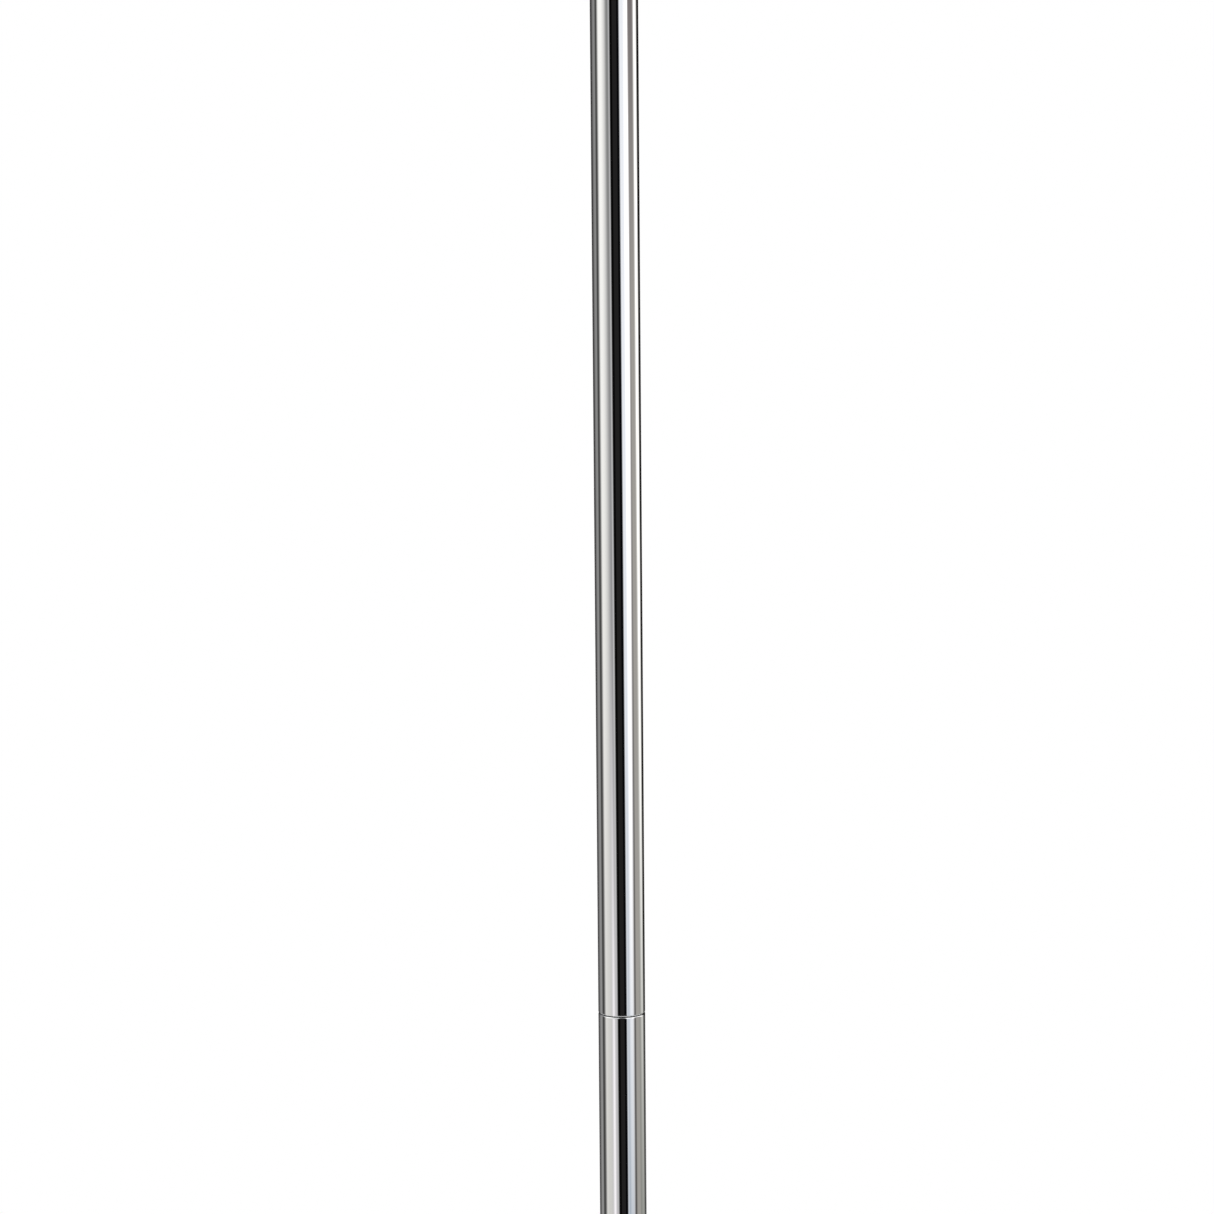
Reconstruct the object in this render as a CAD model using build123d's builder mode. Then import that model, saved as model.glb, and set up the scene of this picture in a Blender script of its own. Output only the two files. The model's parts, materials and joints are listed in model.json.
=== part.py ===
from build123d import *

import os
from math import cos, radians, sin, tan

# Flag pole stand: a weighted round base with a trumpet cover, a polished pole in two
# screwed sections, and a screwed lance finial.  Millimetres, +Z up, origin at the centre
# of the circle that the feet stand on.

os.makedirs("parts", exist_ok=True)

# ---------------------------------------------------------------- driving dimensions
# pole
pole_od = 32.0  # polished steel tube, 32 x 1.5
pole_wall = 1.5
pole_edge = 0.8  # rounding of each tube end, which makes the fine seam
pole_r = pole_od / 2
pole_bore_r = pole_r - pole_wall
seam_z = 1050.0  # top face of the lower tube
upper_len = 1000.0
washer_t = 0.5  # fibre washer between two sections
base_washer_t = 0.6

# threads, as plain cylinders of the major diameter
m16_r = 8.0
m16_pitch = 2.0
m12_r = 6.0
m12_pitch = 1.75
m5_r = 2.5
thread_gap = 0.15  # radial room around a male thread
grip16 = 25.0  # length of M16 that stands in a socket
grip12 = 28.5

# base
foot_h = 8.0
foot_pcd = 284.0
plate_t = 1.5
ballast_r = 158.0
ballast_t = 18.0
boss_r = 28.0
boss_h = 8.5
recess_r = 22.0
recess_h = 19.0
cover_r = 165.0
cover_t = 1.2
cover_rim_z = 5.0
cover_corner_z = 30.0
cover_slope = 6.5  # degrees, rise of the top towards the neck
shoulder_r = 12.0
trumpet_r = 46.0
neck_r = 20.0
neck_z = 92.0
plate_screw_pcd = 210.0

# derived heights
plate_z = foot_h
ballast_z = plate_z + plate_t
ballast_top = ballast_z + ballast_t
boss_top = ballast_top + boss_h
recess_top = ballast_z + recess_h
collar_h = 14.0
collar_top = neck_z + collar_h
lower_z = collar_top + base_washer_t
upper_z = seam_z + washer_t
upper_top = upper_z + upper_len
finial_z = upper_top + washer_t

foot_spots = PolarLocations(foot_pcd / 2, 4, start_angle=45)
screw_spots = PolarLocations(plate_screw_pcd / 2, 4, start_angle=0)


def cover_line(r, drop=0.0):
    """Height of the cover's sloping top at radius r, dropped square to the slope."""
    a = radians(cover_slope)
    return cover_corner_z + (cover_r - r) * tan(a) - drop / cos(a)


# ================================================================= base
# Spun steel cover: skirt, rounded shoulder, sloping top, trumpet neck and a clamped lip.
lip_hole_r = m16_r + 0.4
with BuildPart() as base_cover:
    with BuildSketch(Plane.XZ) as cover_profile:
        with BuildLine():
            outer = FilletPolyline(
                (cover_r, cover_rim_z),
                (cover_r, cover_line(cover_r)),
                (neck_r, cover_line(neck_r)),
                (neck_r, neck_z),
                radius=[shoulder_r, trumpet_r],
            )
            Line(outer @ 1, (lip_hole_r, neck_z))
            Line((lip_hole_r, neck_z), (lip_hole_r, neck_z - cover_t))
            Line(
                (lip_hole_r, neck_z - cover_t), (neck_r - cover_t, neck_z - cover_t)
            )
            FilletPolyline(
                (neck_r - cover_t, neck_z - cover_t),
                (neck_r - cover_t, cover_line(neck_r - cover_t, cover_t)),
                (cover_r - cover_t, cover_line(cover_r - cover_t, cover_t)),
                (cover_r - cover_t, cover_rim_z),
                radius=[trumpet_r + cover_t, shoulder_r - cover_t],
            )
            Line((cover_r - cover_t, cover_rim_z), (cover_r, cover_rim_z))
        make_face()
    revolve(axis=Axis.Z)
    neck_edge = base_cover.edges().filter_by(GeomType.CIRCLE).group_by(Axis.Z)[-1]
    fillet(neck_edge.sort_by(SortBy.RADIUS)[-1], radius=0.8)

# Cast-iron ballast disc with a boss for the spacer and a pocket for the nut.
with BuildPart() as ballast_weight:
    with BuildSketch(Plane.XY.offset(ballast_z)):
        Circle(ballast_r)
    extrude(amount=ballast_t)
    chamfer(
        ballast_weight.edges().filter_by(GeomType.CIRCLE).group_by(Axis.Z)[-1],
        length=2.5,
    )
    with BuildSketch(Plane.XY.offset(ballast_top)):
        Circle(boss_r)
    extrude(amount=boss_h, taper=8)
    with BuildSketch(Plane.XY.offset(ballast_z)):
        Circle(recess_r)
    extrude(amount=recess_h, mode=Mode.SUBTRACT)
    with Locations((0, 0, boss_top)):
        Hole(m16_r + 0.5, depth=boss_top - ballast_z)
    # tapped holes for the plate screws and the foot screws
    with BuildSketch(Plane.XY.offset(ballast_z)):
        with screw_spots:
            Circle(m5_r)
        with foot_spots:
            Circle(m5_r)
    extrude(amount=12.0, mode=Mode.SUBTRACT)

# Steel plate that closes the underside, pressed with a stiffening ring.
plate_hole_r = 26.0
with BuildPart() as bottom_plate:
    with BuildSketch(Plane.XY.offset(plate_z)):
        Circle(cover_r - cover_t)
        Circle(plate_hole_r, mode=Mode.SUBTRACT)
        with foot_spots:
            Circle(2.75, mode=Mode.SUBTRACT)
    extrude(amount=plate_t)
    with Locations(Plane((0, 0, plate_z), z_dir=(0, 0, -1))):
        with PolarLocations(plate_screw_pcd / 2, 4, start_angle=0):
            CounterSinkHole(m5_r, 4.0, depth=plate_t, counter_sink_angle=90)
    chamfer(
        bottom_plate.edges()
        .filter_by(GeomType.CIRCLE)
        .group_by(Axis.Z)[0]
        .sort_by(SortBy.RADIUS)[-1],
        length=0.4,
    )

# Four countersunk M5 screws that hold the plate to the ballast.
with BuildPart() as plate_screws:
    with BuildSketch(Plane.XY.offset(plate_z)):
        with screw_spots:
            Circle(m5_r + plate_t)
    extrude(amount=plate_t, taper=45)
    with BuildSketch(Plane.XY.offset(plate_z + plate_t)):
        with screw_spots:
            Circle(m5_r)
    extrude(amount=10.0)
    with BuildSketch(Plane.XY.offset(plate_z)):
        with screw_spots:
            RegularPolygon(1.5, 6, major_radius=False)
    extrude(amount=1.1, mode=Mode.SUBTRACT)

# Four rubber feet, each with a pocket for its screw head.
with BuildPart() as rubber_feet:
    with BuildSketch(Plane.XY):
        with foot_spots:
            Circle(13.0)
    extrude(amount=foot_h, taper=-6)
    fillet(
        rubber_feet.edges().filter_by(GeomType.CIRCLE).group_by(Axis.Z)[0], radius=1.0
    )
    with BuildSketch(Plane.XY):
        with foot_spots:
            Circle(6.0)
    extrude(amount=4.5, mode=Mode.SUBTRACT)
    with BuildSketch(Plane.XY):
        with foot_spots:
            Circle(2.75)
    extrude(amount=foot_h, mode=Mode.SUBTRACT)

# Pan-head M5 screws that hold the feet.
with BuildPart() as foot_screws:
    with BuildSketch(Plane.XY.offset(1.3)):
        with foot_spots:
            Circle(4.75)
    extrude(amount=3.2)
    fillet(
        foot_screws.edges().filter_by(GeomType.CIRCLE).group_by(Axis.Z)[0], radius=1.2
    )
    with BuildSketch(Plane.XY.offset(4.5)):
        with foot_spots:
            Circle(m5_r)
    extrude(amount=16.0)
    with BuildSketch(Plane.XY.offset(1.3)):
        with foot_spots:
            Rectangle(5.4, 1.1)
            Rectangle(1.1, 5.4)
    extrude(amount=1.5, mode=Mode.SUBTRACT)

# Spacer tube that carries the cover's neck on the ballast.
with BuildPart() as spacer_tube:
    with BuildSketch(Plane.XY.offset(boss_top)):
        Circle(16.0)
        Circle(12.0, mode=Mode.SUBTRACT)
    extrude(amount=neck_z - cover_t - boss_top)
    chamfer(spacer_tube.edges().filter_by(GeomType.CIRCLE), length=0.5)

# Threaded rod that ties the base together and takes the pole.
base_stud_bottom = recess_top - 16.5
with BuildPart() as base_stud:
    with BuildSketch(Plane.XY.offset(base_stud_bottom)):
        Circle(m16_r)
    extrude(amount=lower_z + grip16 - base_stud_bottom)
    chamfer(base_stud.edges().filter_by(GeomType.CIRCLE), length=1.4)

# Plain washer, split spring washer and thin nut in the pocket.
with BuildPart() as stud_washer:
    with BuildSketch(Plane.XY.offset(recess_top - 3.0)):
        Circle(18.0)
        Circle(m16_r + 0.4, mode=Mode.SUBTRACT)
    extrude(amount=3.0)
    chamfer(
        stud_washer.edges()
        .filter_by(GeomType.CIRCLE)
        .group_by(Axis.Z)[0]
        .sort_by(SortBy.RADIUS)[-1],
        length=0.6,
    )

with BuildPart() as spring_washer:
    with BuildSketch(Plane.XY.offset(recess_top - 6.5)):
        Circle(13.7)
        Circle(m16_r + 0.3, mode=Mode.SUBTRACT)
    extrude(amount=3.5)
    with BuildSketch(Plane((11, 0, recess_top - 4.75), x_dir=(0, 1, 0), z_dir=(1, 0, 0))):
        Rectangle(1.6, 6.0, rotation=25)
    extrude(amount=5.0, both=True, mode=Mode.SUBTRACT)

with BuildPart() as stud_nut:
    with BuildSketch(Plane.XY.offset(recess_top - 14.5)):
        RegularPolygon(12.0, 6, major_radius=False)
        Circle(m16_r, mode=Mode.SUBTRACT)
    extrude(amount=8.0)
    # turned corners, as on a rolled hexagon nut
    with BuildSketch(Plane.XZ):
        with BuildLine():
            Polyline(
                (0, recess_top - 14.5),
                (11.9, recess_top - 14.5),
                (13.9, recess_top - 13.4),
                (13.9, recess_top - 7.6),
                (11.9, recess_top - 6.5),
                (0, recess_top - 6.5),
                close=True,
            )
        make_face()
    revolve(axis=Axis.Z, mode=Mode.INTERSECT)

# Turned collar nut that clamps the cover's lip and carries the pole's foot.
with BuildPart() as neck_collar:
    with BuildSketch(Plane.XZ):
        with BuildLine():
            Line((m16_r, neck_z), (23.0, neck_z))
            Line((23.0, neck_z), (23.0, neck_z + 3.6))
            Line((23.0, neck_z + 3.6), (21.2, neck_z + 4.4))
            ThreePointArc(
                (21.2, neck_z + 4.4), (18.9, neck_z + 6.2), (18.2, neck_z + 9.0)
            )
            Line((18.2, neck_z + 9.0), (18.2, neck_z + 9.6))
            Line((18.2, neck_z + 9.6), (19.0, neck_z + 9.6))
            Line((19.0, neck_z + 9.6), (19.0, collar_top))
            Line((19.0, collar_top), (m16_r, collar_top))
            Line((m16_r, collar_top), (m16_r, neck_z))
        make_face()
    revolve(axis=Axis.Z)
    rim = neck_collar.edges().filter_by(GeomType.CIRCLE)
    fillet(rim.filter_by(lambda e: abs(e.radius - 23.0) < 1e-3), radius=1.5)
    rim = neck_collar.edges().filter_by(GeomType.CIRCLE)
    fillet(rim.filter_by(lambda e: abs(e.radius - 19.0) < 1e-3), radius=0.7)

# Fibre washer under the pole's foot.
with BuildPart() as foot_washer:
    with BuildSketch(Plane.XY.offset(collar_top)):
        Circle(15.2)
        Circle(m16_r + 0.8, mode=Mode.SUBTRACT)
    extrude(amount=base_washer_t)

# ================================================================= lower section
with BuildPart() as lower_tube:
    with BuildSketch(Plane.XY.offset(lower_z)):
        Circle(pole_r)
        Circle(pole_bore_r, mode=Mode.SUBTRACT)
    extrude(amount=seam_z - lower_z)
    ends = lower_tube.edges().filter_by(GeomType.CIRCLE)
    fillet(ends.filter_by(lambda e: abs(e.radius - pole_r) < 1e-3), radius=pole_edge)

insert_r = pole_bore_r
insert_l = 36.0
with BuildPart() as lower_bottom_insert:
    with BuildSketch(Plane.XY.offset(lower_z + 0.2)):
        Circle(insert_r)
        Circle(m16_r + thread_gap, mode=Mode.SUBTRACT)
    extrude(amount=insert_l)
    chamfer(lower_bottom_insert.edges().filter_by(GeomType.CIRCLE), length=0.8)
    # relief groove turned round the middle
    with BuildSketch(Plane.XY.offset(lower_z + 15.0)):
        Circle(insert_r + 1.0)
        Circle(insert_r - 1.0, mode=Mode.SUBTRACT)
    extrude(amount=6.0, mode=Mode.SUBTRACT)

with BuildPart() as lower_top_insert:
    with BuildSketch(Plane.XY.offset(seam_z - 0.2)):
        Circle(insert_r)
        Circle(m16_r + thread_gap, mode=Mode.SUBTRACT)
    extrude(amount=-insert_l)
    chamfer(lower_top_insert.edges().filter_by(GeomType.CIRCLE), length=0.8)
    with BuildSketch(Plane.XY.offset(seam_z - 15.0)):
        Circle(insert_r + 1.0)
        Circle(insert_r - 1.0, mode=Mode.SUBTRACT)
    extrude(amount=-6.0, mode=Mode.SUBTRACT)

with BuildPart() as seam_washer:
    with BuildSketch(Plane.XY.offset(seam_z)):
        Circle(15.1)
        Circle(m16_r + 0.8, mode=Mode.SUBTRACT)
    extrude(amount=washer_t)

# ================================================================= upper section
with BuildPart() as upper_tube:
    with BuildSketch(Plane.XY.offset(upper_z)):
        Circle(pole_r)
        Circle(pole_bore_r, mode=Mode.SUBTRACT)
    extrude(amount=upper_len)
    ends = upper_tube.edges().filter_by(GeomType.CIRCLE)
    fillet(ends.filter_by(lambda e: abs(e.radius - pole_r) < 1e-3), radius=pole_edge)

with BuildPart() as joint_stud:
    with BuildSketch(Plane.XY.offset(upper_z - grip16)):
        Circle(m16_r)
    extrude(amount=grip16 + 32.0)
    chamfer(joint_stud.edges().filter_by(GeomType.CIRCLE), length=1.4)

with BuildPart() as upper_bottom_insert:
    with BuildSketch(Plane.XY.offset(upper_z + 0.2)):
        Circle(insert_r)
        Circle(m16_r, mode=Mode.SUBTRACT)
    extrude(amount=insert_l)
    chamfer(upper_bottom_insert.edges().filter_by(GeomType.CIRCLE), length=0.8)
    with BuildSketch(Plane.XY.offset(upper_z + 15.0)):
        Circle(insert_r + 1.0)
        Circle(insert_r - 1.0, mode=Mode.SUBTRACT)
    extrude(amount=6.0, mode=Mode.SUBTRACT)

with BuildPart() as upper_top_insert:
    with BuildSketch(Plane.XY.offset(upper_top - 0.2)):
        Circle(insert_r)
        Circle(m12_r + thread_gap, mode=Mode.SUBTRACT)
    extrude(amount=-insert_l)
    chamfer(upper_top_insert.edges().filter_by(GeomType.CIRCLE), length=0.8)
    with BuildSketch(Plane.XY.offset(upper_top - 15.0)):
        Circle(insert_r + 1.0)
        Circle(insert_r - 1.0, mode=Mode.SUBTRACT)
    extrude(amount=-6.0, mode=Mode.SUBTRACT)

with BuildPart() as finial_washer:
    with BuildSketch(Plane.XY.offset(upper_top)):
        Circle(15.1)
        Circle(m12_r + 0.8, mode=Mode.SUBTRACT)
    extrude(amount=washer_t)

# ================================================================= finial
# A stepped socket, a ball, a ferrule and a lance blade, strung on one long stud.
socket_h = 30.0
ball_r = 20.0
ball_flat = 9.0  # radius of the flats where the ball meets its neighbours
ball_z = finial_z + socket_h + (ball_r**2 - ball_flat**2) ** 0.5
ferrule_z = ball_z + (ball_r**2 - ball_flat**2) ** 0.5
ferrule_h = 11.0
blade_z = ferrule_z + ferrule_h
blade_len = 108.0
blade_w = 46.0
blade_t = 10.0
tie_r = 4.0

with BuildPart() as finial_socket:
    with BuildSketch(Plane.XZ):
        with BuildLine():
            Line((tie_r + 0.1, finial_z), (21.0, finial_z))
            Line((21.0, finial_z), (21.0, finial_z + 4.5))
            Line((21.0, finial_z + 4.5), (18.5, finial_z + 5.0))
            ThreePointArc(
                (18.5, finial_z + 5.0), (13.0, finial_z + 8.2), (10.5, finial_z + 15.0)
            )
            Line((10.5, finial_z + 15.0), (10.5, finial_z + 18.0))
            ThreePointArc(
                (10.5, finial_z + 18.0), (14.5, finial_z + 21.5), (10.5, finial_z + 25.0)
            )
            Line((10.5, finial_z + 25.0), (9.6, finial_z + socket_h))
            Line((9.6, finial_z + socket_h), (tie_r + 0.1, finial_z + socket_h))
            Line((tie_r + 0.1, finial_z + socket_h), (tie_r + 0.1, finial_z))
        make_face()
    revolve(axis=Axis.Z)
    with Locations(Plane((0, 0, finial_z), z_dir=(0, 0, -1))):
        Hole(m12_r, depth=14.0)
    rim = finial_socket.edges().filter_by(GeomType.CIRCLE)
    fillet(rim.filter_by(lambda e: abs(e.radius - 21.0) < 1e-3), radius=1.6)

with BuildPart() as finial_ball:
    with Locations((0, 0, ball_z)):
        Sphere(ball_r)
    with BuildSketch(Plane.XY.offset(finial_z + socket_h)):
        Circle(ball_r + 1)
    extrude(amount=ferrule_z - finial_z - socket_h, mode=Mode.INTERSECT)
    with Locations((0, 0, ferrule_z)):
        Hole(tie_r + 0.1, depth=2 * ball_r)

with BuildPart() as finial_ferrule:
    with BuildSketch(Plane.XZ):
        with BuildLine():
            Line((tie_r + 0.1, ferrule_z), (11.0, ferrule_z))
            ThreePointArc(
                (11.0, ferrule_z), (12.6, ferrule_z + 2.0), (11.0, ferrule_z + 4.0)
            )
            ThreePointArc(
                (11.0, ferrule_z + 4.0),
                (8.9, ferrule_z + 6.6),
                (8.2, ferrule_z + ferrule_h),
            )
            Line(
                (8.2, ferrule_z + ferrule_h), (tie_r + 0.1, ferrule_z + ferrule_h)
            )
            Line((tie_r + 0.1, ferrule_z + ferrule_h), (tie_r + 0.1, ferrule_z))
        make_face()
    revolve(axis=Axis.Z)

# Lance blade: rhombic sections, half width and half thickness, at shares of its length.
blade_sections = [
    (0.00, 7.4, 6.6),
    (0.10, 8.6, 6.0),
    (0.22, 17.5, 5.4),
    (0.33, 22.4, 5.0),
    (0.45, 22.6, 4.7),
    (0.60, 18.8, 4.2),
    (0.76, 12.2, 3.4),
    (0.90, 5.4, 2.3),
    (1.00, 0.9, 0.8),
]
with BuildPart() as finial_blade:
    for share, half_w, half_t in blade_sections:
        with BuildSketch(Plane.XY.offset(blade_z + share * blade_len)):
            with BuildLine():
                Polyline(
                    (half_w, 0), (0, half_t), (-half_w, 0), (0, -half_t), close=True
                )
            make_face()
    loft()
    with Locations(Plane((0, 0, blade_z), z_dir=(0, 0, -1))):
        Hole(tie_r, depth=9.0)

with BuildPart() as finial_stud:
    with BuildSketch(Plane.XY.offset(finial_z - grip12)):
        Circle(m12_r)
    extrude(amount=grip12 + 14.0)
    with BuildSketch(Plane.XY.offset(finial_z + 14.0)):
        Circle(tie_r)
    extrude(amount=blade_z + 8.5 - finial_z - 14.0)
    chamfer(
        finial_stud.edges().filter_by(GeomType.CIRCLE).group_by(Axis.Z)[0], length=1.0
    )

# ---------------------------------------------------------------- write
pieces = {
    "base_cover": base_cover,
    "ballast_weight": ballast_weight,
    "bottom_plate": bottom_plate,
    "plate_screws": plate_screws,
    "rubber_feet": rubber_feet,
    "foot_screws": foot_screws,
    "spacer_tube": spacer_tube,
    "base_stud": base_stud,
    "stud_washer": stud_washer,
    "spring_washer": spring_washer,
    "stud_nut": stud_nut,
    "neck_collar": neck_collar,
    "foot_washer": foot_washer,
    "lower_tube": lower_tube,
    "lower_bottom_insert": lower_bottom_insert,
    "lower_top_insert": lower_top_insert,
    "seam_washer": seam_washer,
    "upper_tube": upper_tube,
    "joint_stud": joint_stud,
    "upper_bottom_insert": upper_bottom_insert,
    "upper_top_insert": upper_top_insert,
    "finial_washer": finial_washer,
    "finial_stud": finial_stud,
    "finial_socket": finial_socket,
    "finial_ball": finial_ball,
    "finial_ferrule": finial_ferrule,
    "finial_blade": finial_blade,
}
for name, piece in pieces.items():
    piece.part.label = name
    export_step(piece.part, f"parts/{name}.step")
    box = piece.part.bounding_box()
    print(name, "z", round(box.min.Z, 2), round(box.max.Z, 2))
    print(name, round(piece.part.volume / 1000, 2), "cm3", len(piece.part.solids()))
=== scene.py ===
import json
import math

import bmesh
import bpy
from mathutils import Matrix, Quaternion, Vector

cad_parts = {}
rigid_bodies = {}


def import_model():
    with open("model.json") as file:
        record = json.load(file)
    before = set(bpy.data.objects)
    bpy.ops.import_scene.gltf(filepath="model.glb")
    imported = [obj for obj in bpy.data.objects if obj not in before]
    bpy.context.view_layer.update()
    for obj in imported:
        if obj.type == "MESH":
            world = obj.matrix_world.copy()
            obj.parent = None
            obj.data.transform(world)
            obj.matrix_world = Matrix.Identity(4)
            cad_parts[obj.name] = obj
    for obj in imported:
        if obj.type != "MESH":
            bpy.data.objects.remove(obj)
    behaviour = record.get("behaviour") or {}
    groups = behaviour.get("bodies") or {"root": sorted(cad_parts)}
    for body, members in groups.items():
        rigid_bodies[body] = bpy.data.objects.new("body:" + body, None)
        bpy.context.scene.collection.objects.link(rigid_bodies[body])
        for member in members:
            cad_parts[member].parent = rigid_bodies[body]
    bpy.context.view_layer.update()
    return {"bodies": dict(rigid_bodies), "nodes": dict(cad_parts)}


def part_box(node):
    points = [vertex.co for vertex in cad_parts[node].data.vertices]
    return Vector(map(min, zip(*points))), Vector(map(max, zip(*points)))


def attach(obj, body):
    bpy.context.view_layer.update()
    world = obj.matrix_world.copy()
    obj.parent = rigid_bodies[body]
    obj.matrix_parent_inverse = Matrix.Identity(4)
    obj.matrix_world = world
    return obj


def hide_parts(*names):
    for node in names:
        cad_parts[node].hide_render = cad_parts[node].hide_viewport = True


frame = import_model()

nodes, bodies = frame["nodes"], frame["bodies"]
scene = bpy.context.scene
scene.view_settings.view_transform = "Standard"
scene.view_settings.look = "None"
MM = 0.001


# --------------------------------------------------------------------------- places
def z_span(node):
    lo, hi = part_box(node)
    return lo.z / MM, hi.z / MM


def radius(node):
    lo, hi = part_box(node)
    return (hi.x - lo.x) / 2 / MM


foot_top = z_span("rubber_feet")[1]
cover_lo, cover_hi = z_span("base_cover")
collar_lo, collar_hi = z_span("neck_collar")
lower_lo, lower_hi = z_span("lower_tube")
upper_lo, upper_hi = z_span("upper_tube")
socket_lo, socket_hi = z_span("finial_socket")
ball_lo, ball_hi = z_span("finial_ball")
ferrule_lo, ferrule_hi = z_span("finial_ferrule")
blade_lo, blade_hi = z_span("finial_blade")
POLE_R = 16.0
POLE_BORE = 14.5
POLE_EDGE = 0.8


# --------------------------------------------------------------------------- node helpers
class Tree:
    """Adds nodes to a node tree and links plain numbers or sockets to their inputs."""

    def __init__(self, tree):
        self.tree = tree
        self.tree.nodes.clear()

    def put(self, socket, value):
        if isinstance(value, bpy.types.NodeSocket):
            self.tree.links.new(value, socket)
        elif value is not None:
            socket.default_value = value

    def math(self, op, a, b=None, c=None, clamp=False):
        n = self.tree.nodes.new("ShaderNodeMath")
        n.operation, n.use_clamp = op, clamp
        for s, v in zip(n.inputs, (a, b, c)):
            self.put(s, v)
        return n.outputs[0]

    def smooth(self, value, lo, hi, a=0.0, b=1.0):
        n = self.tree.nodes.new("ShaderNodeMapRange")
        n.interpolation_type = "SMOOTHSTEP"
        for s, v in zip(n.inputs, (value, lo, hi, a, b)):
            self.put(s, v)
        return n.outputs[0]

    def mix(self, factor, a, b):
        n = self.tree.nodes.new("ShaderNodeMix")
        n.data_type = "RGBA"
        n.clamp_factor = True
        self.put(n.inputs["Factor"], factor)
        self.put(n.inputs[6], a)
        self.put(n.inputs[7], b)
        return n.outputs[2]

    def noise(self, vector, scale, detail=3.0, rough=0.5, distortion=0.0):
        n = self.tree.nodes.new("ShaderNodeTexNoise")
        self.put(n.inputs["Vector"], vector)
        n.inputs["Scale"].default_value = scale
        n.inputs["Detail"].default_value = detail
        n.inputs["Roughness"].default_value = rough
        n.inputs["Distortion"].default_value = distortion
        return n.outputs["Fac"]

    def stretch(self, vector, scale, rotation=(0, 0, 0)):
        n = self.tree.nodes.new("ShaderNodeMapping")
        self.put(n.inputs["Vector"], vector)
        n.inputs["Scale"].default_value = scale
        n.inputs["Rotation"].default_value = rotation
        return n.outputs[0]

    def object_coords(self):
        return self.tree.nodes.new("ShaderNodeTexCoord").outputs["Object"]

    def bump(self, height, strength, distance, normal=None):
        n = self.tree.nodes.new("ShaderNodeBump")
        n.inputs["Strength"].default_value = strength
        n.inputs["Distance"].default_value = distance
        self.put(n.inputs["Height"], height)
        self.put(n.inputs["Normal"], normal)
        return n.outputs[0]


def new_material(name):
    m = bpy.data.materials.new(name)
    m.use_nodes = True
    t = Tree(m.node_tree)
    out = t.tree.nodes.new("ShaderNodeOutputMaterial")
    p = t.tree.nodes.new("ShaderNodeBsdfPrincipled")
    t.tree.links.new(p.outputs[0], out.inputs[0])
    return m, t, p


# --------------------------------------------------------------------------- materials
def polished_chrome(name, streak_axis="z"):
    """Bright plate over buffed steel: hairline polishing marks, faint haze, soft waviness."""
    m, t, p = new_material(name)
    co = t.object_coords()
    if streak_axis == "z":
        fine = t.noise(t.stretch(co, (900.0, 900.0, 9.0)), 1.0, 3.0, 0.55)
        wide = t.noise(t.stretch(co, (160.0, 160.0, 3.0)), 1.0, 2.0, 0.5)
    else:
        sep = t.tree.nodes.new("ShaderNodeSeparateXYZ")
        t.put(sep.inputs[0], co)
        r = t.math(
            "SQRT",
            t.math(
                "ADD",
                t.math("MULTIPLY", sep.outputs[0], sep.outputs[0]),
                t.math("MULTIPLY", sep.outputs[1], sep.outputs[1]),
            ),
        )
        ring = t.tree.nodes.new("ShaderNodeCombineXYZ")
        t.put(ring.inputs[0], t.math("MULTIPLY", r, 900.0))
        t.put(ring.inputs[1], t.math("MULTIPLY", sep.outputs[2], 900.0))
        fine = t.noise(ring.outputs[0], 1.0, 3.0, 0.55)
        ring2 = t.tree.nodes.new("ShaderNodeCombineXYZ")
        t.put(ring2.inputs[0], t.math("MULTIPLY", r, 140.0))
        t.put(ring2.inputs[1], t.math("MULTIPLY", sep.outputs[2], 140.0))
        wide = t.noise(ring2.outputs[0], 1.0, 2.0, 0.5)
    haze = t.noise(co, 14.0, 4.0, 0.6, 0.4)
    shade = t.math("ADD", t.math("MULTIPLY", fine, 0.5), t.math("MULTIPLY", wide, 0.5))
    base = t.mix(
        t.smooth(shade, 0.30, 0.70),
        (0.690, 0.700, 0.710, 1),
        (0.715, 0.722, 0.730, 1),
    )
    t.put(p.inputs["Base Color"], base)
    p.inputs["Metallic"].default_value = 1.0
    rough = t.math(
        "ADD",
        t.smooth(haze, 0.52, 0.80, 0.022, 0.050),
        t.math("MULTIPLY", t.smooth(fine, 0.45, 0.75), 0.012),
    )
    t.put(p.inputs["Roughness"], rough)
    waves = t.noise(t.stretch(co, (60.0, 60.0, 14.0)), 1.0, 1.0, 0.4)
    n1 = t.bump(waves, 1.0, 0.0000035)
    n2 = t.bump(fine, 1.0, 0.00000012, n1)
    t.put(p.inputs["Normal"], n2)
    return m


def zinc_steel():
    m, t, p = new_material("zinc_steel")
    co = t.object_coords()
    grain = t.noise(co, 700.0, 3.0, 0.6)
    cloud = t.noise(co, 45.0, 4.0, 0.6, 0.6)
    base = t.mix(t.smooth(cloud, 0.3, 0.7), (0.50, 0.52, 0.56, 1), (0.66, 0.66, 0.63, 1))
    t.put(p.inputs["Base Color"], base)
    p.inputs["Metallic"].default_value = 1.0
    t.put(p.inputs["Roughness"], t.smooth(grain, 0.3, 0.7, 0.24, 0.40))
    t.put(p.inputs["Normal"], t.bump(grain, 0.25, 0.00002))
    return m


def turned_steel():
    m, t, p = new_material("turned_steel")
    co = t.object_coords()
    marks = t.noise(t.stretch(co, (6.0, 6.0, 2600.0)), 1.0, 2.0, 0.6)
    cloud = t.noise(co, 60.0, 4.0, 0.6)
    base = t.mix(t.smooth(cloud, 0.3, 0.7), (0.36, 0.35, 0.34, 1), (0.52, 0.51, 0.50, 1))
    t.put(p.inputs["Base Color"], base)
    p.inputs["Metallic"].default_value = 1.0
    t.put(p.inputs["Roughness"], t.smooth(marks, 0.3, 0.7, 0.26, 0.42))
    t.put(p.inputs["Normal"], t.bump(marks, 0.4, 0.00003))
    return m


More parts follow.
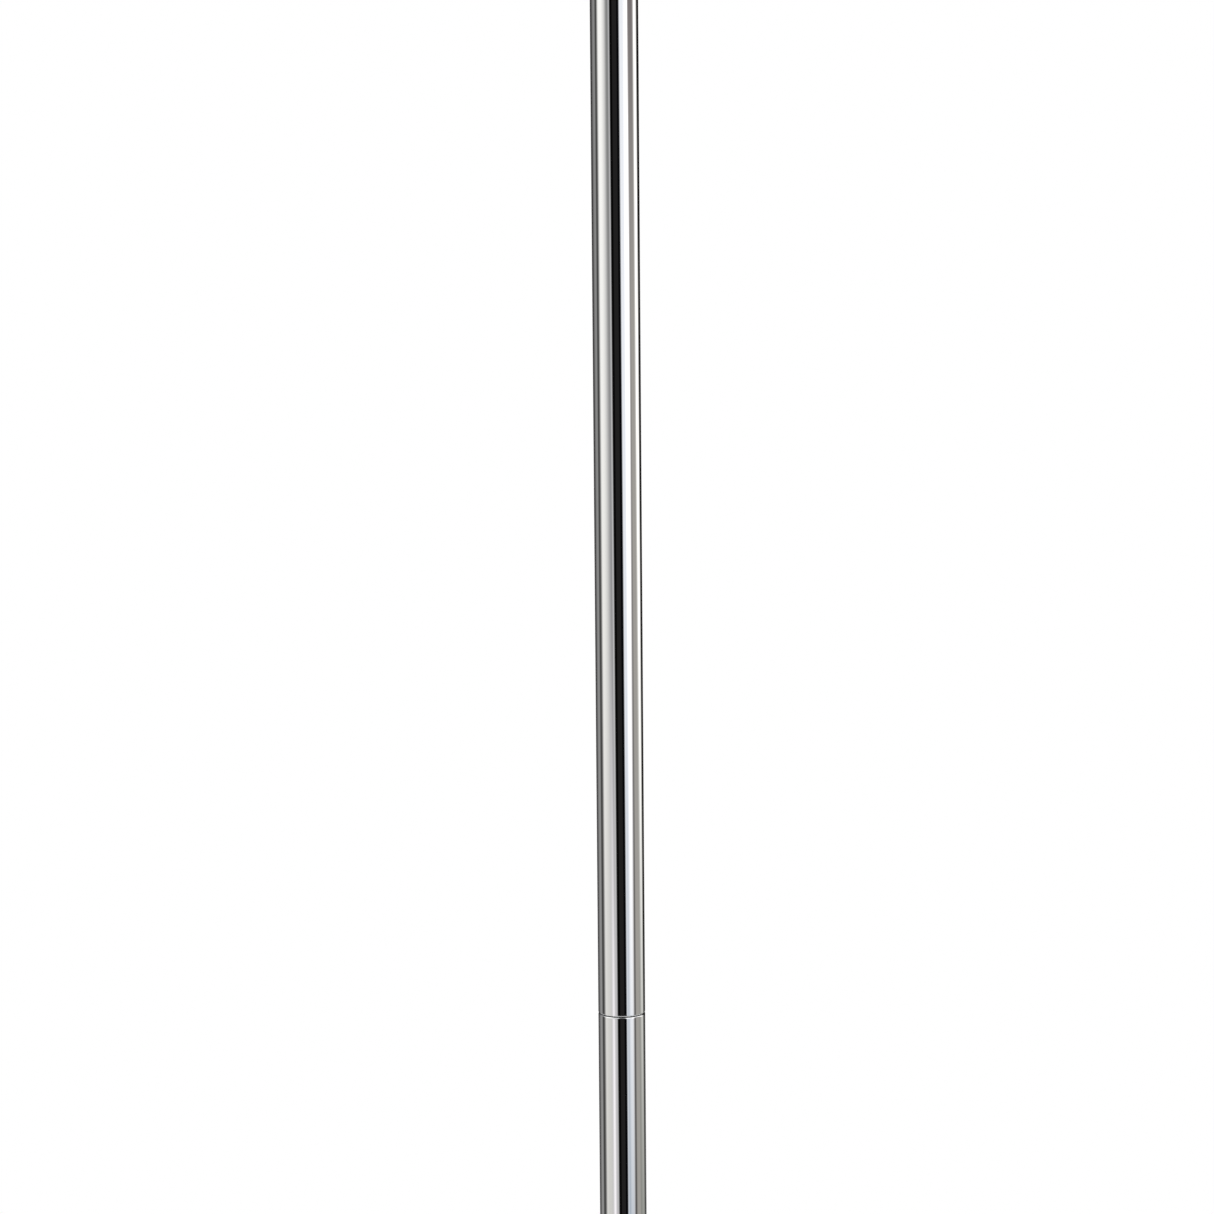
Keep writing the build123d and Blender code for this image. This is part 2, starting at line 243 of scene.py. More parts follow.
def black_fibre():
    m, t, p = new_material("black_fibre")
    co = t.object_coords()
    fleck = t.noise(co, 1500.0, 4.0, 0.7)
    base = t.mix(t.smooth(fleck, 0.4, 0.75), (0.010, 0.010, 0.010, 1), (0.05, 0.05, 0.048, 1))
    t.put(p.inputs["Base Color"], base)
    t.put(p.inputs["Roughness"], t.smooth(fleck, 0.3, 0.7, 0.6, 0.85))
    t.put(p.inputs["Normal"], t.bump(fleck, 0.4, 0.00005))
    return m


def cast_iron():
    m, t, p = new_material("cast_iron")
    co = t.object_coords()
    sand = t.noise(co, 900.0, 5.0, 0.65)
    lump = t.noise(co, 60.0, 3.0, 0.5, 0.3)
    base = t.mix(t.smooth(sand, 0.3, 0.75), (0.025, 0.025, 0.027, 1), (0.075, 0.072, 0.070, 1))
    rust = t.smooth(t.noise(co, 24.0, 5.0, 0.65, 0.5), 0.62, 0.80)
    base = t.mix(t.math("MULTIPLY", rust, 0.35), base, (0.11, 0.055, 0.03, 1))
    t.put(p.inputs["Base Color"], base)
    p.inputs["Metallic"].default_value = 0.35
    t.put(p.inputs["Roughness"], t.smooth(sand, 0.2, 0.8, 0.55, 0.85))
    n = t.bump(lump, 0.5, 0.0006)
    t.put(p.inputs["Normal"], t.bump(sand, 0.6, 0.0002, n))
    return m


def black_plate():
    m, t, p = new_material("black_plate")
    co = t.object_coords()
    peel = t.noise(co, 420.0, 2.0, 0.5)
    cloud = t.noise(co, 18.0, 4.0, 0.6)
    base = t.mix(t.smooth(cloud, 0.3, 0.7), (0.034, 0.034, 0.036, 1), (0.055, 0.055, 0.058, 1))
    scuff = t.smooth(t.noise(t.stretch(co, (30.0, 260.0, 30.0), (0, 0, 0.6)), 1.0, 4.0, 0.7), 0.70, 0.80)
    base = t.mix(t.math("MULTIPLY", scuff, 0.5), base, (0.16, 0.16, 0.16, 1))
    t.put(p.inputs["Base Color"], base)
    t.put(p.inputs["Roughness"], t.smooth(cloud, 0.3, 0.7, 0.38, 0.55))
    t.put(p.inputs["Normal"], t.bump(peel, 0.3, 0.00008))
    return m


def black_rubber():
    m, t, p = new_material("black_rubber")
    co = t.object_coords()
    pore = t.noise(co, 1100.0, 4.0, 0.7)
    dust = t.smooth(t.noise(co, 90.0, 4.0, 0.6), 0.50, 0.78)
    base = t.mix(t.math("MULTIPLY", dust, 0.6), (0.022, 0.022, 0.022, 1), (0.085, 0.081, 0.075, 1))
    t.put(p.inputs["Base Color"], base)
    t.put(p.inputs["Roughness"], t.smooth(pore, 0.3, 0.7, 0.65, 0.90))
    t.put(p.inputs["Normal"], t.bump(pore, 0.35, 0.00008))
    return m


CHROME = polished_chrome("polished_chrome")
CHROME_SPUN = polished_chrome("polished_chrome_spun", "round")
ZINC, TURNED, FIBRE = zinc_steel(), turned_steel(), black_fibre()
IRON, PLATE, RUBBER = cast_iron(), black_plate(), black_rubber()


# --------------------------------------------------------------------------- mesh helpers
def rounded(points, radii, steps=14):
    """A path through points (r, z) whose inner corners are arcs of the given radii."""
    path = [points[0]]
    for i in range(1, len(points) - 1):
        a, b, c = (Vector(p) for p in points[i - 1 : i + 2])
        rad = radii[i - 1]
        if rad <= 0:
            path.append(tuple(b))
            continue
        u, v = (a - b).normalized(), (c - b).normalized()
        half = u.angle(v) / 2
        reach = rad / math.tan(half)
        centre = b + (u + v).normalized() * (rad / math.sin(half))
        p, q = b + u * reach, b + v * reach
        start = math.atan2(p.y - centre.y, p.x - centre.x)
        turn = math.atan2(q.y - centre.y, q.x - centre.x) - start
        turn = (turn + math.pi) % (2 * math.pi) - math.pi
        for k in range(steps + 1):
            t = start + turn * k / steps
            path.append((centre.x + rad * math.cos(t), centre.y + rad * math.sin(t)))
    path.append(points[-1])
    return path


def span(a, b, n):
    """Points strictly between a and b, so that a long wall has several rings."""
    return [
        (a[0] + (b[0] - a[0]) * k / n, a[1] + (b[1] - a[1]) * k / n)
        for k in range(1, n)
    ]


def finish_mesh(name, verts, faces, body, swap, mat, sharp=28.0):
    me = bpy.data.meshes.new(name)
    me.from_pydata([tuple(c * MM for c in v) for v in verts], [], faces)
    bm = bmesh.new()
    bm.from_mesh(me)
    bmesh.ops.remove_doubles(bm, verts=bm.verts, dist=1e-7)
    bmesh.ops.recalc_face_normals(bm, faces=bm.faces)
    bm.to_mesh(me)
    bm.free()
    me.shade_smooth()
    me.set_sharp_from_angle(angle=math.radians(sharp))
    me.materials.append(mat)
    o = bpy.data.objects.new(name, me)
    scene.collection.objects.link(o)
    if swap:
        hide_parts(*swap)
    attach(o, body)
    return o


def turned(profile, segs, shift=None, centre=(0.0, 0.0)):
    """Vertices and faces of a closed profile (r, z) turned about Z. shift(r, z, angle)
    moves a point in or out, for threads and knurls."""
    verts, faces, rows = [], [], []
    for r, z, *flag in profile:
        if r < 1e-6:
            rows.append([len(verts)])
            verts.append((centre[0], centre[1], z))
            continue
        row = []
        for j in range(segs):
            t = 2 * math.pi * j / segs
            rr = r + (shift(r, z, t) if shift and flag and flag[0] else 0.0)
            row.append(len(verts))
            verts.append((centre[0] + rr * math.cos(t), centre[1] + rr * math.sin(t), z))
        rows.append(row)
    pairs = list(zip(rows, rows[1:]))
    if len(rows[0]) > 1 or len(rows[-1]) > 1:
        pairs.append((rows[-1], rows[0]))
    for p, q in pairs:
        if len(p) == 1 and len(q) == 1:
            continue
        for j in range(segs):
            k = (j + 1) % segs
            if len(p) == 1:
                faces.append((p[0], q[j], q[k]))
            elif len(q) == 1:
                faces.append((p[j], q[0], p[k]))
            else:
                faces.append((p[j], q[j], q[k], p[k]))
    return verts, faces


def lathe(name, profile, segs, body, swap, mat, shift=None, sharp=28.0):
    v, f = turned(profile, segs, shift)
    return finish_mesh(name, v, f, body, swap, mat, sharp)


def thread_shift(pitch, depth, z0, z1, outward):
    """A 60-degree helical thread between z0 and z1, run out over one pitch at each end."""

    def shift(r, z, t):
        ramp = max(0.0, min(1.0, (z - z0) / pitch, (z1 - z) / pitch))
        k = ((z / pitch) - t / (2 * math.pi)) % 1.0
        tooth = abs(2 * k - 1)  # 0 at the crest's middle
        cut = max(0.0, min(1.0, (tooth - 0.12) / 0.68))
        return outward * depth * ramp * cut

    return shift


# --------------------------------------------------------------------------- pole
def tube(name, z0, z1, body):
    """Polished tube with rolled edges; the extra rings keep its reflections straight."""
    e = POLE_EDGE
    outer = rounded(
        [(POLE_BORE, z0), (POLE_R, z0), (POLE_R, z1), (POLE_BORE, z1)], [e, e], 10
    )
    # outer: bore edge, arc, wall, arc, bore edge
    low, high = outer[:12], outer[12:]
    wall = [(POLE_R, z0 + e + 0.12)]
    wall += span((POLE_R, z0 + e), (POLE_R, z1 - e), 24)
    wall += [(POLE_R, z1 - e - 0.12)]
    inner = [(POLE_BORE, z1 - 0.3)] + span((POLE_BORE, z1), (POLE_BORE, z0), 12)
    inner += [(POLE_BORE, z0 + 0.3)]
    return lathe(
        name,
        low + wall + high + inner,
        288,
        body,
        [name],
        CHROME,
    )


upper_tube = tube("upper_tube", upper_lo, upper_hi, "upper_section")
lower_tube = tube("lower_tube", lower_lo, lower_hi, "lower_section")
for o, n in ((upper_tube, "upper_tube"), (lower_tube, "lower_tube")):
    o.name = n + "_polished"


def washer(node, body, bore):
    z0, z1 = z_span(node)
    r, c = radius(node), 0.12
    prof = [
        (bore + c, z0), (r - c, z0), (r, z0 + c), (r, z1 - c), (r - c, z1),
        (bore + c, z1), (bore, z1 - c), (bore, z0 + c),
    ]  # fmt: skip
    return lathe(node + "_ring", prof, 128, body, [node], FIBRE)


washer("seam_washer", "seam_ring", 8.8)
washer("foot_washer", "foot_ring", 8.8)
washer("finial_washer", "finial_ring", 6.8)


def stud(node, body, r, pitch, threaded, plain=()):
    """Rod with a cut thread over the spans named, a point at each end."""
    z0, z1 = z_span(node)
    depth = 0.61 * pitch
    tip = 1.3
    rows = [(0.0, z0), (r - tip, z0), (r, z0 + tip)]
    step = pitch / 12
    shifts = [thread_shift(pitch, depth, a, b, -1) for a, b in threaded]
    cuts = sorted({round(v, 4) for ab in threaded for v in ab})
    z = z0 + tip
    while z < z1 - tip - step:
        z += step
        rr = r
        for a, b, other in plain:
            if a <= z <= b:
                rr = other
        rows.append((rr, z, True))
    last = plain[-1][2] if plain else r
    rows += [(last, z1 - min(tip, 0.6)), (last - min(tip, 0.6), z1), (0.0, z1)]

    def shift(r_, z_, t_):
        return sum(s(r_, z_, t_) for s in shifts)

    return lathe(
        node + "_threaded", rows, 56, body, [node], ZINC, shift, 50.0
    )


b0, b1 = z_span("base_stud")
stud("base_stud", "base", 8.0, 2.0, [(b0, b0 + 17), (collar_lo - 2, b1)])
j0, j1 = z_span("joint_stud")
stud("joint_stud", "upper_section", 8.0, 2.0, [(j0, upper_lo + 1.0)])


def bush(node, body, bore, pitch, mouth_up, threaded=True):
    """Turned bush with a relief groove and a cut female thread, open at its mouth."""
    z0, z1 = z_span(node)
    r, c = POLE_BORE, 0.8
    depth = 0.55 * pitch
    mid = (z0 + 14.8, z0 + 20.8) if not mouth_up else (z1 - 20.8, z1 - 14.8)
    outer = [
        (bore + c, z0), (r - c, z0), (r, z0 + c), (r, mid[0]), (r - 1.0, mid[0]),
        (r - 1.0, mid[1]), (r, mid[1]), (r, z1 - c), (r - c, z1), (bore + c, z1),
        (bore, z1 - c),
    ]  # fmt: skip
    inner, z = [], z1 - c
    step = pitch / 10
    while z - step > z0 + c:
        z -= step
        inner.append((bore, z, threaded))
    inner.append((bore, z0 + c))
    return lathe(
        node + "_bush", outer + inner, 56, body, [node], TURNED,
        thread_shift(pitch, depth, z0 + c, z1 - c, 1), 50.0,
    )  # fmt: skip


bush("lower_bottom_insert", "lower_section", 8.15, 2.0, False)
bush("lower_top_insert", "lower_section", 8.15, 2.0, True)
bush("upper_bottom_insert", "upper_section", 8.0, 2.0, False, False)
bush("upper_top_insert", "upper_section", 6.15, 1.75, True)


# --------------------------------------------------------------------------- base
SLOPE = math.tan(math.radians(6.5))
COVER_R, COVER_T, NECK_R = 165.0, 1.2, 20.0


def cover_line(r, drop=0.0):
    return 30.0 + (COVER_R - r) * SLOPE - drop * math.sqrt(1 + SLOPE * SLOPE)


def spun_cover():
    """Spun shell: skirt with a curled rim, shoulder, shallow cone and trumpet neck."""
    ri, ni = COVER_R - COVER_T, NECK_R - COVER_T
    lip = 8.4
    outer = rounded(
        [
            (ri + 0.35, cover_lo),
            (COVER_R, cover_lo),
            (COVER_R, cover_line(COVER_R)),
            (NECK_R, cover_line(NECK_R)),
            (NECK_R, cover_hi),
            (lip, cover_hi),
        ],
        [0.35, 12.0, 46.0, 0.8],
        18,
    )
    full = []
    for a, b in zip(outer, outer[1:]):
        full.append(a)
        gap = math.dist(a, b)
        if gap > 4.0:
            d = 0.15 / gap
            full.append((a[0] + (b[0] - a[0]) * d, a[1] + (b[1] - a[1]) * d))
            full += span(a, b, max(2, int(gap / 8)))
            full.append((b[0] + (a[0] - b[0]) * d, b[1] + (a[1] - b[1]) * d))
    full.append(outer[-1])
    inner = rounded(
        [
            (lip, cover_hi - COVER_T),
            (ni, cover_hi - COVER_T),
            (ni, cover_line(ni, COVER_T)),
            (ri, cover_line(ri, COVER_T)),
            (ri, cover_lo + 0.35),
        ],
        [0.0, 47.2, 10.8],
        18,
    )
    return lathe(
        "base_cover_spun", full + inner, 320, "base", ["base_cover"], CHROME_SPUN,
    )  # fmt: skip


spun_cover()


def collar():
    """Clamp collar: knurled grip, waist and seat ring."""
    z = collar_lo
    prof = [(8.0, z)]
    prof += rounded([(8.1, z), (22.6, z), (22.6, z + 0.9)], [0.4], 4)[1:]
    grip = [(23.0, z + 0.9 + 0.3 * k, True) for k in range(0, 8)]
    prof += [(23.0, z + 0.75)] + grip + [(23.0, z + 3.2)]
    prof += rounded([(22.9, z + 3.3), (22.3, z + 3.9), (21.2, z + 4.4)], [0.4], 4)
    c0, c1, c2 = (21.2, z + 4.4), (18.9, z + 6.2), (18.2, z + 9.0)
    for k in range(1, 13):  # hollow sweep up to the waist
        t = k / 12
        q = [
            (1 - t) ** 2 * a + 2 * t * (1 - t) * m + t * t * b
            for a, m, b in zip(c0, (19.1, z + 5.6), c2)
        ]
        prof.append(tuple(q))
    prof += [(18.2, z + 9.55)]
    prof += rounded(
        [(18.25, z + 9.6), (19.0, z + 9.6), (19.0, collar_hi), (8.0, collar_hi)],
        [0.6, 1.1], 8,
    )  # fmt: skip

    def knurl(r, zz, t):
        edge = min(1.0, (zz - z - 0.9) / 0.3, (z + 3.0 - zz) / 0.3)
        wave = 0.5 - 0.5 * math.cos(t * 96)
        return -0.42 * max(0.0, edge) * wave

    return lathe(
        "neck_collar_turned", prof, 768, "base", ["neck_collar"], CHROME_SPUN,
        knurl, 40.0,
    )  # fmt: skip


collar()


# --------------------------------------------------------------------------- finial
def arc(p, q, s, n):
    """Points on the circle through p, q and s, from p to s, with p left out."""
    (ax, ay), (bx, by), (cx, cy) = p, q, s
    d = 2 * (ax * (by - cy) + bx * (cy - ay) + cx * (ay - by))
    ux = ((ax**2 + ay**2) * (by - cy) + (bx**2 + by**2) * (cy - ay) + (cx**2 + cy**2) * (ay - by)) / d
    uy = ((ax**2 + ay**2) * (cx - bx) + (bx**2 + by**2) * (ax - cx) + (cx**2 + cy**2) * (bx - ax)) / d
    r = math.dist((ux, uy), p)
    t0, t1, t2 = (math.atan2(y - uy, x - ux) for x, y in (p, q, s))
    full = 2 * math.pi
    turn = (t2 - t0) % full
    if not 0 < (t1 - t0) % full < turn:
        turn -= full
    return [
        (ux + r * math.cos(t0 + turn * k / n), uy + r * math.sin(t0 + turn * k / n))
        for k in range(1, n + 1)
    ]


def socket():
    z = socket_lo
    prof = rounded(
        [(6.0, z), (21.0, z), (21.0, z + 4.5), (18.5, z + 5.0)], [1.5, 1.2], 10
    )
    prof += arc((18.5, z + 5.0), (13.0, z + 8.2), (10.5, z + 15.0), 20)
    prof += [(10.5, z + 17.9)]
    prof += [(10.5, z + 18.0)] + arc(
        (10.5, z + 18.0), (14.5, z + 21.5), (10.5, z + 25.0), 24
    )
    prof += [(9.6, socket_hi - 0.05), (9.5, socket_hi), (6.0, socket_hi)]
    return lathe(
        "finial_socket_turned", prof, 192, "finial", ["finial_socket"], CHROME_SPUN,
    )  # fmt: skip


socket()


def ball():
    mid, half = (ball_lo + ball_hi) / 2, (ball_hi - ball_lo) / 2
    r = 20.0
    a = math.asin(half / r)
    n = 64
    prof = [(4.1, ball_lo)]
    for k in range(n + 1):
        t = -a + 2 * a * k / n
        prof.append((r * math.cos(t), mid + r * math.sin(t)))
    prof.append((4.1, ball_hi))
    return lathe(
        "finial_ball_turned", prof, 160, "finial", ["finial_ball"], CHROME_SPUN,
    )  # fmt: skip


ball()


def ferrule():
    z = ferrule_lo
    prof = [(4.1, z), (10.9, z), (11.0, z + 0.05)]
    prof += arc((11.0, z + 0.05), (12.6, z + 2.0), (11.0, z + 4.0), 18)
    prof += arc((11.0, z + 4.0), (8.9, z + 6.6), (8.2, ferrule_hi - 0.3), 14)
    prof += [(8.0, ferrule_hi), (4.1, ferrule_hi)]
    return lathe(
        "finial_ferrule_turned", prof, 144, "finial", ["finial_ferrule"], CHROME_SPUN,
    )  # fmt: skip


ferrule()


def blade():
    """Forged lance blade: rhombic section with a raised ridge and ground edges."""
    table = [
        (0.00, 7.4, 6.6), (0.10, 8.6, 6.0), (0.22, 17.5, 5.4), (0.33, 22.4, 5.0),
        (0.45, 22.6, 4.7), (0.60, 18.8, 4.2), (0.76, 12.2, 3.4), (0.90, 5.4, 2.3),
        (1.00, 0.9, 0.8),
    ]  # fmt: skip

    def curve(col):
        """Smooth curve through a column of the table, as a cubic spline with free ends."""
        xs, ys = [row[0] for row in table], [row[col] for row in table]
        n = len(xs)
        h = [b - a for a, b in zip(xs, xs[1:])]
        diag, rhs, bend = [1.0] * n, [0.0] * n, [0.0] * n
        for i in range(1, n - 1):
            below = h[i - 1] if i > 1 else 0.0
            diag[i] = 2 * (h[i - 1] + h[i]) - below * h[i - 1] / diag[i - 1]
            rise = (ys[i + 1] - ys[i]) / h[i] - (ys[i] - ys[i - 1]) / h[i - 1]
            rhs[i] = 6 * rise - below * rhs[i - 1] / diag[i - 1]
        for i in range(n - 2, 0, -1):
            bend[i] = (rhs[i] - (h[i] * bend[i + 1] if i < n - 2 else 0.0)) / diag[i]

        def at(s):
            i = max(0, min(n - 2, sum(1 for x in xs[1:] if x < s)))
            a, b = (xs[i + 1] - s) / h[i], (s - xs[i]) / h[i]
            return (
                a * ys[i]
                + b * ys[i + 1]
                + ((a**3 - a) * bend[i] + (b**3 - b) * bend[i + 1]) * h[i] ** 2 / 6
            )

        return at

    width, depth, widest = curve(1), curve(2), radius("finial_blade")
    length = blade_hi - blade_lo
    rings, n_side = [], 7
    for k in range(121):
        s = k / 120
        w, h = min(width(s), widest), depth(s)
        hollow = 0.10 * min(1.0, s / 0.2) * min(1.0, (1 - s) / 0.3)
        ring = []
        corners = [(w, 0.0), (0.0, h), (-w, 0.0), (0.0, -h)]
        for c in range(4):
            (x0, y0), (x1, y1) = corners[c], corners[(c + 1) % 4]
            for j in range(n_side):
                u = (0.012, 0.05, 0.22, 0.5, 0.78, 0.95, 0.988)[j]
                dip = 1 - hollow * math.sin(math.pi * u)
                x, y = x0 + (x1 - x0) * u, y0 + (y1 - y0) * u
                ring.append((x * (1 - 0.25 * (1 - dip)), y * dip, blade_lo + s * length))
        rings.append(ring)
    verts = [v for ring in rings for v in ring]
    m = 4 * n_side
    faces = []
    for k in range(len(rings) - 1):
        for j in range(m):
            a, b = k * m + j, k * m + (j + 1) % m
            faces.append((a, b, b + m, a + m))
    for k, z in ((0, blade_lo), (len(rings) - 1, blade_hi)):
        c = len(verts)
        verts.append((0.0, 0.0, z))
        for j in range(m):
            faces.append((c, k * m + j, k * m + (j + 1) % m))
    return finish_mesh(
        "finial_blade_forged", verts, faces, "finial", ["finial_blade"], CHROME,
        24.0,
    )  # fmt: skip


blade()
f0, f1 = z_span("finial_stud")
stud(
    "finial_stud", "finial", 6.0, 1.75, [(f0, socket_lo + 1.0)],
    [(socket_lo + 14.0, f1, 4.0)],
)  # fmt: skip


# --------------------------------------------------------------------------- underside
def rubber_feet():
    """Moulded feet: rounded sole with grip rings and a pocket for the screw."""
    verts, faces = [], []
    top = foot_top
    prof = rounded([(6.0, 0.0), (13.0, 0.0), (13.84, top), (2.75, top)], [1.0, 0.4], 6)
    sole = [(6.0, 0.3), (6.3, 0.0)]
    for r in (8.0, 10.0):
        sole += [(r - 0.35, 0.0), (r - 0.2, 0.35), (r + 0.2, 0.35), (r + 0.35, 0.0)]
    prof = sole + prof[1:] + [(2.75, 4.5), (6.0, 4.5)]
    for k in range(4):
        a = math.radians(45 + 90 * k)
        v, f = turned(prof, 72, None, (142 * math.cos(a), 142 * math.sin(a)))
        n = len(verts)
        verts += v
        faces += [tuple(i + n for i in face) for face in f]
    return finish_mesh(
        "rubber_feet_moulded", verts, faces, "base", ["rubber_feet"], RUBBER,
        30.0,
    )  # fmt: skip


rubber_feet()


KEPT = {
    "ballast_weight": IRON,
    "bottom_plate": PLATE,
    "plate_screws": ZINC,
    "foot_screws": ZINC,
    "stud_washer": ZINC,
    "spring_washer": ZINC,
    "stud_nut": ZINC,
    "spacer_tube": TURNED,
}
for name, mat in KEPT.items():
    o = nodes[name]
    for s in o.material_slots:
        s.material = mat

# --------------------------------------------------------------------------- floor
floor_mat = bpy.data.materials.new("studio_floor")
floor_mat.use_nodes = True
ft = Tree(floor_mat.node_tree)
fout = ft.tree.nodes.new("ShaderNodeOutputMaterial")
fd = ft.tree.nodes.new("ShaderNodeBsdfPrincipled")
fclear = ft.tree.nodes.new("ShaderNodeBsdfTransparent")
fmix = ft.tree.nodes.new("ShaderNodeMixShader")
fco = ft.object_coords()
flen = ft.tree.nodes.new("ShaderNodeVectorMath")
flen.operation = "LENGTH"
ft.put(flen.inputs[0], fco)
cloud = ft.noise(fco, 3.0, 3.0, 0.5)
ft.put(
    fd.inputs["Base Color"],
    ft.mix(ft.smooth(cloud, 0.3, 0.7), (0.71, 0.71, 0.705, 1), (0.73, 0.73, 0.725, 1)),
)
fd.inputs["Roughness"].default_value = 0.7
fd.inputs["Specular IOR Level"].default_value = 0.3
fade = ft.smooth(flen.outputs["Value"], 1.1, 2.35)
# seen from below it is clear, so that the underside can be looked at
behind = ft.tree.nodes.new("ShaderNodeNewGeometry").outputs["Backfacing"]
ft.put(fmix.inputs[0], ft.math("MAXIMUM", fade, behind))
ft.put(fmix.inputs[1], fd.outputs[0])
ft.put(fmix.inputs[2], fclear.outputs[0])
ft.tree.links.new(fmix.outputs[0], fout.inputs[0])

FLOOR_R = 2.4
fme = bpy.data.meshes.new("studio_floor")
fverts = [(0.0, 0.0, 0.0)]
ffaces = []
RINGS, SPOKES = 6, 96
for i in range(1, RINGS + 1):
    for j in range(SPOKES):
        t = 2 * math.pi * j / SPOKES
        fverts.append((FLOOR_R * i / RINGS * math.cos(t), FLOOR_R * i / RINGS * math.sin(t), 0.0))
for j in range(SPOKES):
    ffaces.append((0, 1 + j, 1 + (j + 1) % SPOKES))
for i in range(RINGS - 1):
    for j in range(SPOKES):
        a, b = 1 + i * SPOKES + j, 1 + i * SPOKES + (j + 1) % SPOKES
        ffaces.append((a, a + SPOKES, b + SPOKES, b))
fme.from_pydata(fverts, [], ffaces)
fme.materials.append(floor_mat)
floor = bpy.data.objects.new("studio_floor", fme)
floor.location.z = -0.0002
floor.visible_shadow = False
scene.collection.objects.link(floor)

# --------------------------------------------------------------------------- studio light
# The studio is described once, as soft cards around the stand. A card has an azimuth
# (0 behind the camera, positive to the camera's right), a half width, an edge softness
# and a lean in degrees per degree of height, all in degrees, and a light level.
world = bpy.data.worlds.new("studio")
scene.world = world
world.use_nodes = True
w = Tree(world.node_tree)
wout = w.tree.nodes.new("ShaderNodeOutputWorld")
wco = w.tree.nodes.new("ShaderNodeTexCoord")
wsep = w.tree.nodes.new("ShaderNodeSeparateXYZ")
w.tree.links.new(wco.outputs["Generated"], wsep.inputs[0])
wx, wy, wz = wsep.outputs
AZ = w.math("DEGREES", w.math("ARCTAN2", wx, w.math("MULTIPLY", wy, -1.0)))
EL = w.math("DEGREES", w.math("ARCSINE", wz))
EL7 = w.math("ADD", EL, 7.0)


def card(below, az, half, soft, level, lean=0.0, low=None, high=None, edge=3.0):
    centre = w.math("MULTIPLY_ADD", EL7, lean, az) if lean else az
    d = w.math("SUBTRACT", AZ, centre)
    d = w.math("ABSOLUTE", w.math("WRAP", d, 180.0, -180.0))
    m = w.smooth(d, half - soft, half + soft, 1.0, 0.0)
    if low is not None:
        m = w.math("MULTIPLY", m, w.smooth(EL, low - edge, low + edge))
    if high is not None:
        m = w.math("MULTIPLY", m, w.smooth(EL, high - edge, high + edge, 1.0, 0.0))
    return w.mix(m, below, (*level, 1))


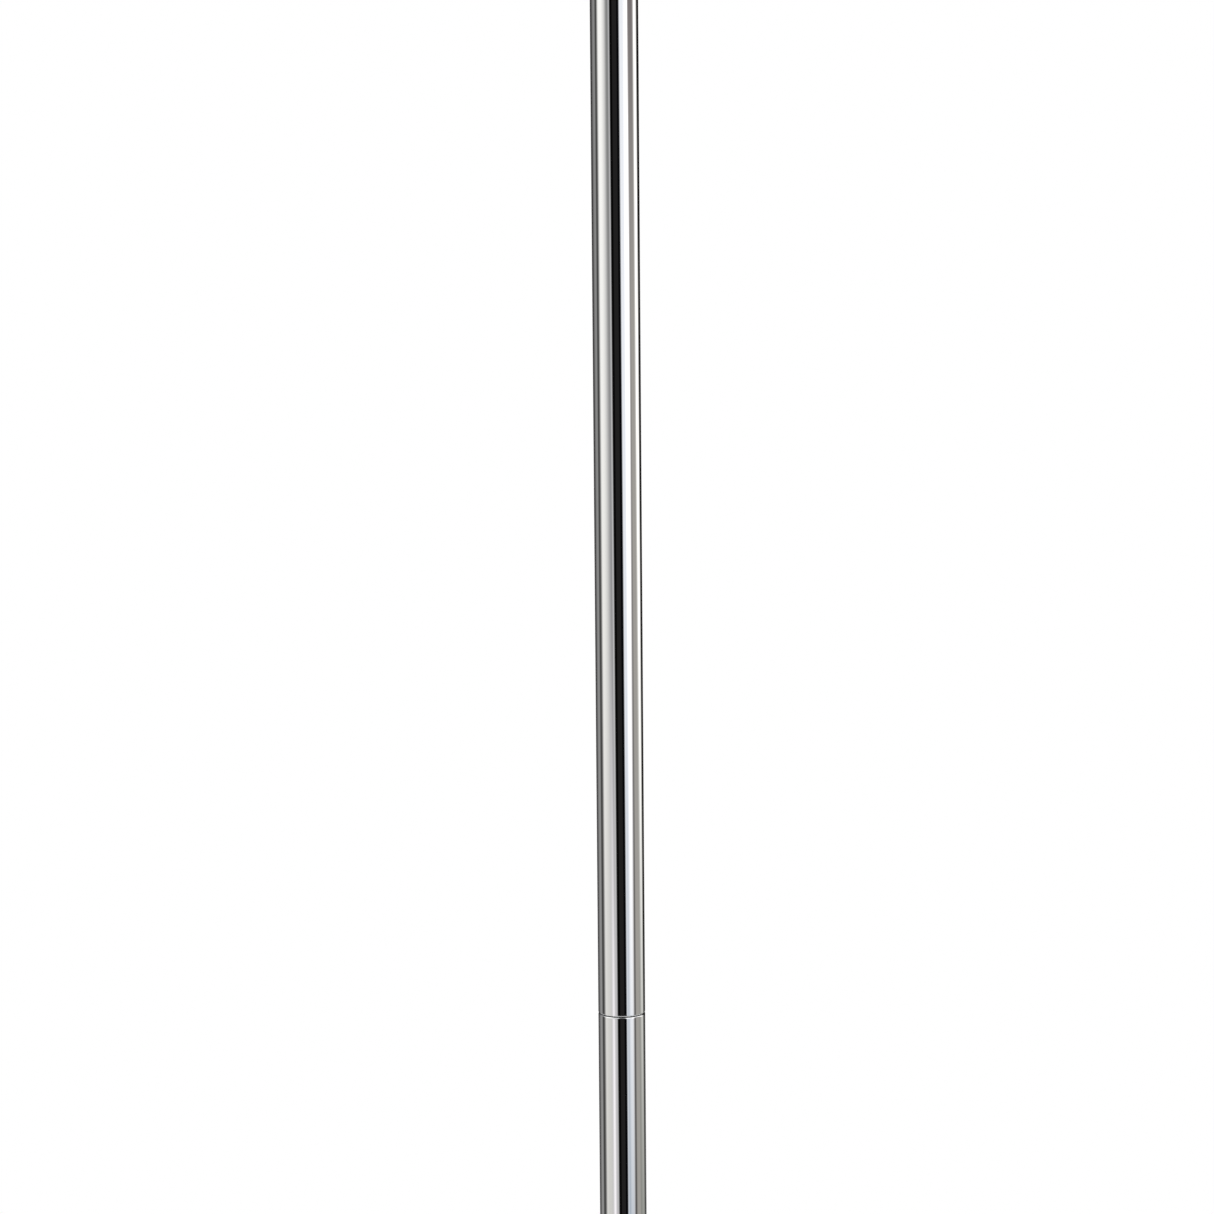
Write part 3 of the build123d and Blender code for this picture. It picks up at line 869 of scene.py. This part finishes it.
CARDS = [
    # az, half, soft, level, lean, low, high, edge
    (-142.5, 5.2, 3.4, (0.000, 0.001, 0.004), -0.1, None, 22, 8),
    (-113.9, 17, 23.7, (0.420, 0.415, 0.406), 0.49, None, 35, 10),
    (-102.4, 5.9, 10.6, (0.006, 0.006, 0.004), 0.14, None, 30, 8),
    (-59.7, 27.8, 7.6, (1.332, 1.307, 1.256), -0.15, None, 48, 10),
    (-31.2, 22.5, 22.2, (0.387, 0.382, 0.389), 0.31, None, 30, 10),
    (-21.1, 8.8, 0.9, (0.657, 0.646, 0.648), -0.13, None, 30, 8),
    (-38, 4.6, 9.4, (0.280, 0.281, 0.270), 0.02, -2.5, 30, 4),
    (-39.9, 7.3, 9.8, (1.408, 1.350, 1.375), -0.03, None, -10.8, 4.9),
    (-69.6, 16.1, 13.1, (0.815, 0.798, 0.752), 0.06, None, -9.1, 12.8),
    (5.9, 28.1, 2.2, (0.021, 0.020, 0.020), -0.22, -34, 40, 10),
    (-13.9, 4, 4, (0.000, 0.000, 0.000), -0.26, -30, 36, 10),
    (16.9, 5.6, 2.4, (0.002, 0.002, 0.003), -0.16, -30, 36, 10),
    (36.4, 12.5, 3.7, (1.193, 1.209, 1.255), -0.2, None, 50, 10),
    (52.7, 10, 9.8, (2.272, 2.194, 2.174), 0.5, None, 50, 10),
    (43.5, 14.6, 7.7, (0.011, 0.117, 0.227), 0.02, None, -14.1, 14.5),
    (91.2, 18.7, 5.4, (0.484, 0.459, 0.422), -0.14, None, 40, 8),
    (85.6, 21.6, 6, (0.234, 0.204, 0.205), -0.05, 0.9, 30, 4),
    (117.1, 8.6, 14.5, (2.463, 2.411, 2.301), -0.41, None, 44, 8),
    (115.6, 17.9, 1.9, (0.342, 0.348, 0.312), 0, None, -11.6, 7.9),
    (166.9, 32.8, 4.8, (0.000, 0.000, 0.000), -0.05, None, 26, 8),
    (153.3, 5.7, 5.1, (0.290, 0.304, 0.296), 0, None, -14.1, 1.6),
    (156.6, 2.1, 4.4, (0.191, 0.166, 0.152), 0.2, None, 30, 8),
]
studio = (0.118, 0.111, 0.109, 1)
# walls brighten upwards and the ceiling is one large soft light
studio = w.mix(w.smooth(EL, 6.0, 34.0), studio, (0.50, 0.50, 0.51, 1))
for az, half, soft, level, lean, low, high, edge in CARDS:
    studio = card(studio, az, half, soft, level, lean, low, high, edge)
studio = w.mix(w.smooth(EL, 32.0, 46.0), studio, (1.95, 1.95, 1.94, 1))
studio = w.mix(w.smooth(EL, 58.0, 78.0), studio, (0.98, 0.98, 0.975, 1))
# a dark strip crosses it above the camera
studio = card(studio, 2.0, 22.0, 5.0, (0.21, 0.21, 0.21), 0, 22, 76, 8)
# pale floor beyond the disc
studio = w.mix(w.smooth(EL, -19.0, -32.0), studio, (0.62, 0.62, 0.61, 1))
lit = w.tree.nodes.new("ShaderNodeBackground")
w.put(lit.inputs["Color"], studio)
plain = w.tree.nodes.new("ShaderNodeBackground")
plain.inputs["Color"].default_value = (1, 1, 1, 1)
path = w.tree.nodes.new("ShaderNodeLightPath")
pick = w.tree.nodes.new("ShaderNodeMixShader")
w.put(pick.inputs[0], path.outputs["Is Camera Ray"])
w.put(pick.inputs[1], lit.outputs[0])
w.put(pick.inputs[2], plain.outputs[0])
w.tree.links.new(pick.outputs[0], wout.inputs[0])

# --------------------------------------------------------------------------- camera
cam_data = bpy.data.cameras.new("camera")
cam = bpy.data.objects.new("camera", cam_data)
scene.collection.objects.link(cam)
cam_data.sensor_width = 36.0
cam_data.lens = 99.8
cam_data.clip_end = 60.0
cam.rotation_mode = "QUATERNION"
cam.location = (-0.00785, -2.252, lower_hi * MM + 0.556)
look = Vector((0.0, math.cos(math.radians(-7.0)), math.sin(math.radians(-7.0))))
turn = look.to_track_quat("-Z", "Y")
cam.rotation_quaternion = turn @ Quaternion((0, 0, 1), math.radians(-0.47))
scene.camera = cam
